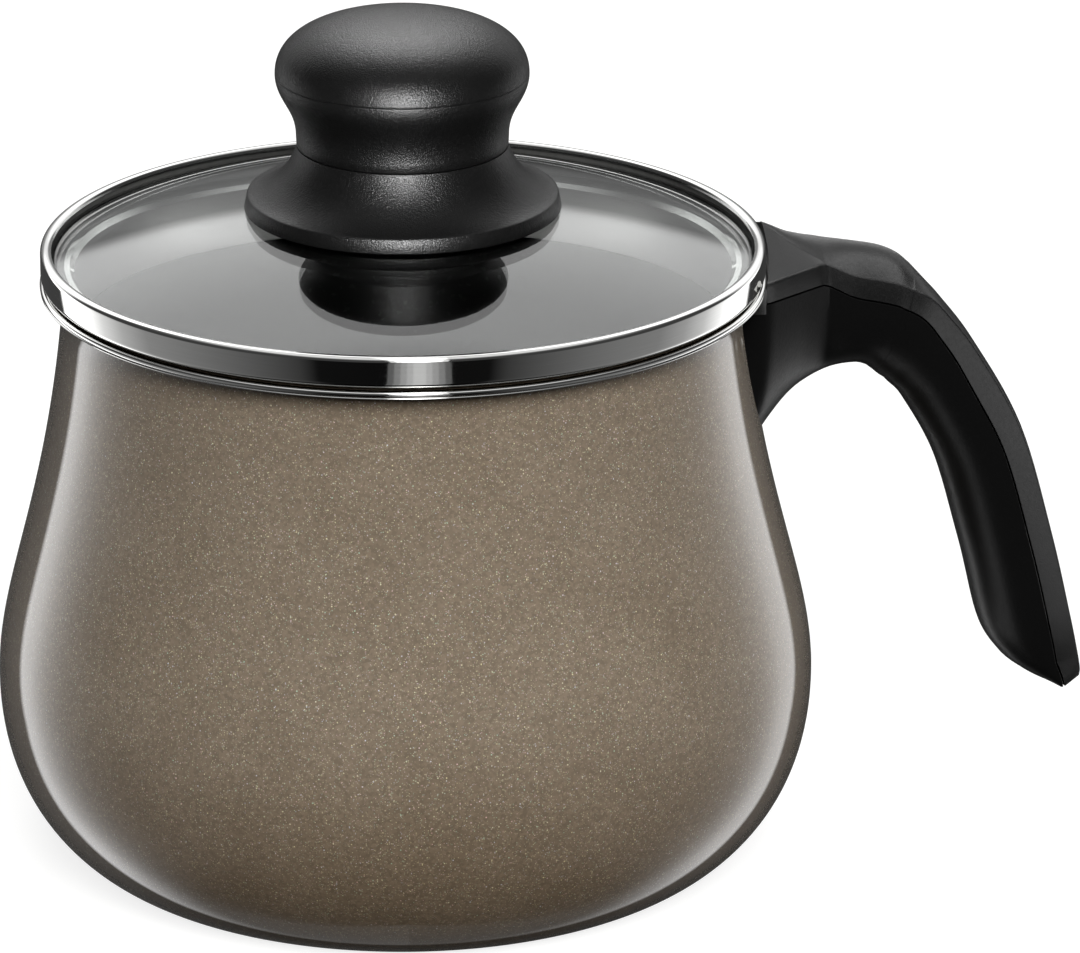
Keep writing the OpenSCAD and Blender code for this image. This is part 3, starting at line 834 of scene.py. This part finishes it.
# ---------------------------------------------------------------- the other solids
node_materials = {
    "handle_bracket": plain_steel,
    "bracket_nut": plain_steel,
    "handle_screw": plain_steel,
    "spring_washer": plain_steel,
    "screw_washer": plain_steel,
    "lid_screw": plain_steel,
    "glass_seal": seal_grey,
    "glass_grommet": silicone,
    "lower_gasket": silicone,
    "knob_insert": brass,
}
for name, material in node_materials.items():
    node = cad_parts[name]
    node.data.materials.clear()
    node.data.materials.append(material)

# ---------------------------------------------------------------- floor
FLOOR_R, FLOOR_DROP = 6, 0.0002
PAPER_GLOW = 0.82


def floor_material():
    """White to the camera, with the object's faint shadow, and a dull table to other rays."""
    mat, tree, _, coords = new_material("floor")
    tree.nodes.remove(tree.nodes["Principled BSDF"])
    seen = add(tree, "ShaderNodeLightPath").outputs["Is Camera Ray"]
    paper = mix(tree, noise(tree, coords, 900, 2), srgb(148, 148, 146), srgb(154, 154, 152))
    colour = mix(tree, seen, srgb(70, 70, 69), paper)
    diffuse = add(tree, "ShaderNodeBsdfDiffuse", {"Color": colour})
    glow = add(tree, "ShaderNodeEmission", {"Strength": product(tree, seen, PAPER_GLOW)})
    both = add(tree, "ShaderNodeAddShader", {0: diffuse.outputs[0], 1: glow.outputs[0]})
    feed(tree, tree.nodes["Material Output"], {"Surface": both.outputs[0]})
    return mat


bpy.ops.mesh.primitive_circle_add(
    vertices=96, radius=FLOOR_R, fill_type="NGON", location=(0, 0, -FLOOR_DROP)
)
floor = bpy.context.object
floor.name = "floor"
floor.data.materials.append(floor_material())
floor.visible_glossy = False
floor.visible_transmission = False

# ---------------------------------------------------------------- studio
# camera and studio are turned by this about the object's axis
TURN = math.radians(-9)
# the dim wall behind the object is a disc: azimuth and dip of its middle, and its soft edge
FAR_TURN, FAR_DIP = math.radians(-2), math.radians(21)
FAR_EDGE = (37, 40)
# (angle, brightness) stops; by azimuth, below the horizon: dark in front, bright at the sides
LOW_STOPS = [(0, 0.004), (27, 0.006), (33, 0.045), (42, 0.08), (60, 0.15), (88, 0.27)]
LOW_STOPS += [(100, 0.48), (110, 0.85), (120, 1.6), (130, 2.6), (180, 2.8)]
# by elevation: the bright back, then the softbox over the front and the dim ceiling
BACK_STOPS = [(0, 1.0), (15, 1.3), (25, 1.65), (40, 1.75), (50, 2.05), (60, 1.2), (72, 0.6)]
BACK_STOPS += [(90, 0.7)]
FRONT_STOPS = [(0, 0.05), (34, 0.05), (48, 0.15), (62, 0.8), (76, 0.9), (90, 0.7)]


def direction(azimuth, elevation):
    """Unit vector from the object: azimuth 0 is where the camera stands, and grows to the right."""
    a, e = math.radians(azimuth) + TURN, math.radians(elevation)
    return Vector((math.sin(a) * math.cos(e), -math.cos(a) * math.cos(e), math.sin(e)))


def levels(tree, value, stops):
    """A level that follows the (value, level) stops along value."""
    lo, hi = stops[0][0], stops[-1][0]
    peak = max(level for _, level in stops)
    node = add(tree, "ShaderNodeValToRGB", {"Fac": remap(tree, value, lo, hi)})
    ramp = node.color_ramp
    for element, (_, level) in zip(ramp.elements, (stops[0], stops[-1])):
        element.color = (level / peak,) * 3 + (1,)
    for at, level in stops[1:-1]:
        ramp.elements.new((at - lo) / (hi - lo)).color = (level / peak,) * 3 + (1,)
    return product(tree, node.outputs["Color"], peak)


def studio_world():
    """White to the camera; to reflections, softboxes on both sides and a bright back."""
    world = bpy.data.worlds.new("studio")
    bpy.context.scene.world = world
    world.use_nodes = True
    world.cycles.sampling_method = "NONE"
    tree = world.node_tree
    tree.nodes.clear()
    way = add(tree, "ShaderNodeTexCoord").outputs["Generated"]
    turned = add(
        tree,
        "ShaderNodeVectorRotate",
        {"Vector": way, "Angle": -TURN},
        rotation_type="Z_AXIS",
    ).outputs["Vector"]
    x, y, z = add(tree, "ShaderNodeSeparateXYZ", {"Vector": turned}).outputs
    front = product(tree, y, -1.0)
    azimuth = math_node(tree, "DEGREES", math_node(tree, "ARCTAN2", x, front))
    side = math_node(tree, "ABSOLUTE", azimuth)
    rise = math_node(tree, "DEGREES", math_node(tree, "ARCSINE", z))

    far = Vector((math.sin(FAR_TURN), math.cos(FAR_TURN), 0)) * math.cos(FAR_DIP)
    far.z = -math.sin(FAR_DIP)
    dot = add(tree, "ShaderNodeVectorMath", {0: turned, 1: far}, operation="DOT_PRODUCT")
    away = math_node(tree, "DEGREES", math_node(tree, "ARCCOSINE", dot.outputs["Value"]))
    inside_disc = remap(tree, rise, -4, 8, 0.02, 0.25)
    outside = mix_levels(tree, remap(tree, away, *FAR_EDGE), inside_disc, 1.0)

    # below the horizon, dimmer towards the floor and on the right
    floor_fade = remap(tree, rise, -62, -40, 0.1, 1.0, True)
    right_fade = remap(tree, azimuth, 60, 110, 1.0, 0.74)
    low = product(tree, levels(tree, side, LOW_STOPS), floor_fade, right_fade)

    # above it, from the back round to the front
    back = product(tree, levels(tree, rise, BACK_STOPS), remap(tree, x, -0.35, 0.35, 1.0, 0.87))
    around = remap(tree, side, 120, 142, 0.0, 1.0, True)
    high = mix_levels(tree, around, levels(tree, rise, FRONT_STOPS), back)
    above = remap(tree, rise, -6, 4, 0, 1, True)
    studio = product(tree, mix_levels(tree, above, low, high), outside)

    path = add(tree, "ShaderNodeLightPath").outputs
    ambient = remap(tree, rise, 5, 70, 0.01, 0.3)
    bounced = math_node(tree, "MAXIMUM", path["Is Glossy Ray"], path["Is Transmission Ray"])
    level = mix_levels(tree, bounced, ambient, studio)
    level = mix_levels(tree, path["Is Camera Ray"], level, 1.0)
    background = add(tree, "ShaderNodeBackground", {"Color": WHITE, "Strength": level})
    add(tree, "ShaderNodeOutputWorld", {"Surface": background.outputs[0]})


studio_world()


def softbox(name, azimuth, elevation, distance, width, height, power, target=(0.01, 0, 0.08)):
    """A lamp that shines on target from distance, unseen by the camera and in reflections."""
    data = bpy.data.lights.new(name, "AREA")
    data.shape = "RECTANGLE"
    data.size, data.size_y = width, height
    data.energy = power
    obj = bpy.data.objects.new(name, data)
    bpy.context.scene.collection.objects.link(obj)
    way = direction(azimuth, elevation)
    obj.location = Vector(target) + way * distance
    obj.rotation_mode = "QUATERNION"
    obj.rotation_quaternion = way.to_track_quat("Z", "Y")
    obj.visible_camera = False
    obj.visible_glossy = False
    obj.visible_transmission = False
    return obj


def only_on(lamp, pieces):
    """Lets a lamp shine on these pieces alone, and only as a reflection."""
    group = bpy.data.collections.new(lamp.name + "_pieces")
    for piece in pieces:
        group.objects.link(piece)
    lamp.light_linking.receiver_collection = group
    lamp.visible_glossy = True
    lamp.visible_diffuse = False


# azimuth, elevation, distance, width, height, watts
softbox("key_light", 9, 36, 2.0, 1.3, 1.0, 60)
softbox("top_light", 10, 70, 1.4, 0.9, 0.9, 2)
softbox("left_light", -80, 20, 1.5, 0.6, 1.0, 0.6)
softbox("right_light", 80, 20, 1.5, 0.6, 1.0, 0.6)
softbox("back_light", 180, 40, 1.6, 0.9, 0.9, 8)

knob_middle, knob_crown = (0, 0, 0.15), (0, 0, 0.168)
knob = [knob_flare, knob_head]
only_on(softbox("knob_front", 1, 0, 0.12, 0.008, 0.07, 0.85, knob_crown), knob)
only_on(softbox("knob_top", 180, 48, 1.0, 0.35, 0.5, 7.5, knob_middle), knob)
only_on(softbox("crest_back", 172, 8, 0.5, 0.16, 0.26, 0.14, (0.1, 0, 0.12)), [cover])
only_on(softbox("crest_side", 105, 58, 0.5, 0.35, 0.3, 2.7, (0.095, 0, 0.12)), [cover])
only_on(softbox("cover_side", 65, 4, 0.5, 0.4, 0.4, 2.6, (0.12, 0, 0.09)), [cover])
only_on(softbox("grip_side", -50, -32, 0.09, 0.08, 0.08, 0.05, (0.12, 0, 0.06)), [grip])

# the highlight on the front of ring and rim: each lamp is narrower than the last and a
# millimetre behind it, so that they add up and the light fades sideways
RING_LAMPS, RING_WIDTH, RING_STEP, RING_HEIGHT = 5, 0.06, 0.012, 0.16
for i in range(RING_LAMPS):
    width, away = RING_WIDTH - RING_STEP * i, 0.22 + MM * i
    for name, elevation, share in (("low", -20, 0.06), ("mid", 20, 0.4), ("high", 60, 0.4)):
        name, power = "ring_%s_%d" % (name, i), share * width
        lamp = softbox(name, 4, elevation, away, width, RING_HEIGHT, power, knob_middle)
        only_on(lamp, [ring, rim])

# light on the skirt's inner face, which shows through the glass
skirt_middle = Vector((0, 0, (seat_z + skirt_bottom) / 2))
only_on(softbox("skirt_glow", 0, -90, 0.025, 0.09, 0.09, 0.003, skirt_middle), [ring])
for name, turn in (("left", -1), ("right", 1)):
    spot = direction(135 * turn, 0) * skirt_in + skirt_middle
    only_on(softbox("skirt_" + name, -90 * turn, -24, 0.06, 0.01, 0.02, 0.001, spot), [ring])

# ---------------------------------------------------------------- camera
LENS, CAMERA_AWAY, CAMERA_UP, AIM_UP = 260.53, 1.5217, 0.6237, 0.075
# the pot stands left of the middle, for the handle has to fit in
AIM_RIGHT, AIM_LIFT = 0.02802, 0.00412
camera_data = bpy.data.cameras.new("camera")
camera_data.sensor_width = 36
camera_data.lens = LENS
camera_data.clip_start, camera_data.clip_end = 0.05, 50
camera = bpy.data.objects.new("camera", camera_data)
bpy.context.scene.collection.objects.link(camera)
eye = direction(0, 0) * CAMERA_AWAY + Vector((0, 0, CAMERA_UP))
aim = Vector((0, 0, AIM_UP))
right = Vector((math.cos(TURN), math.sin(TURN), 0))
aim += right * AIM_RIGHT + right.cross(aim - eye).normalized() * AIM_LIFT
ahead = (aim - eye).normalized()
right = ahead.cross(Vector((0, 0, 1))).normalized()
up = right.cross(ahead)
camera.matrix_world = (
    Matrix.Translation(eye) @ Matrix((right, up, -ahead)).transposed().to_4x4()
)
bpy.context.scene.camera = camera
bpy.context.scene.view_settings.view_transform = "Standard"
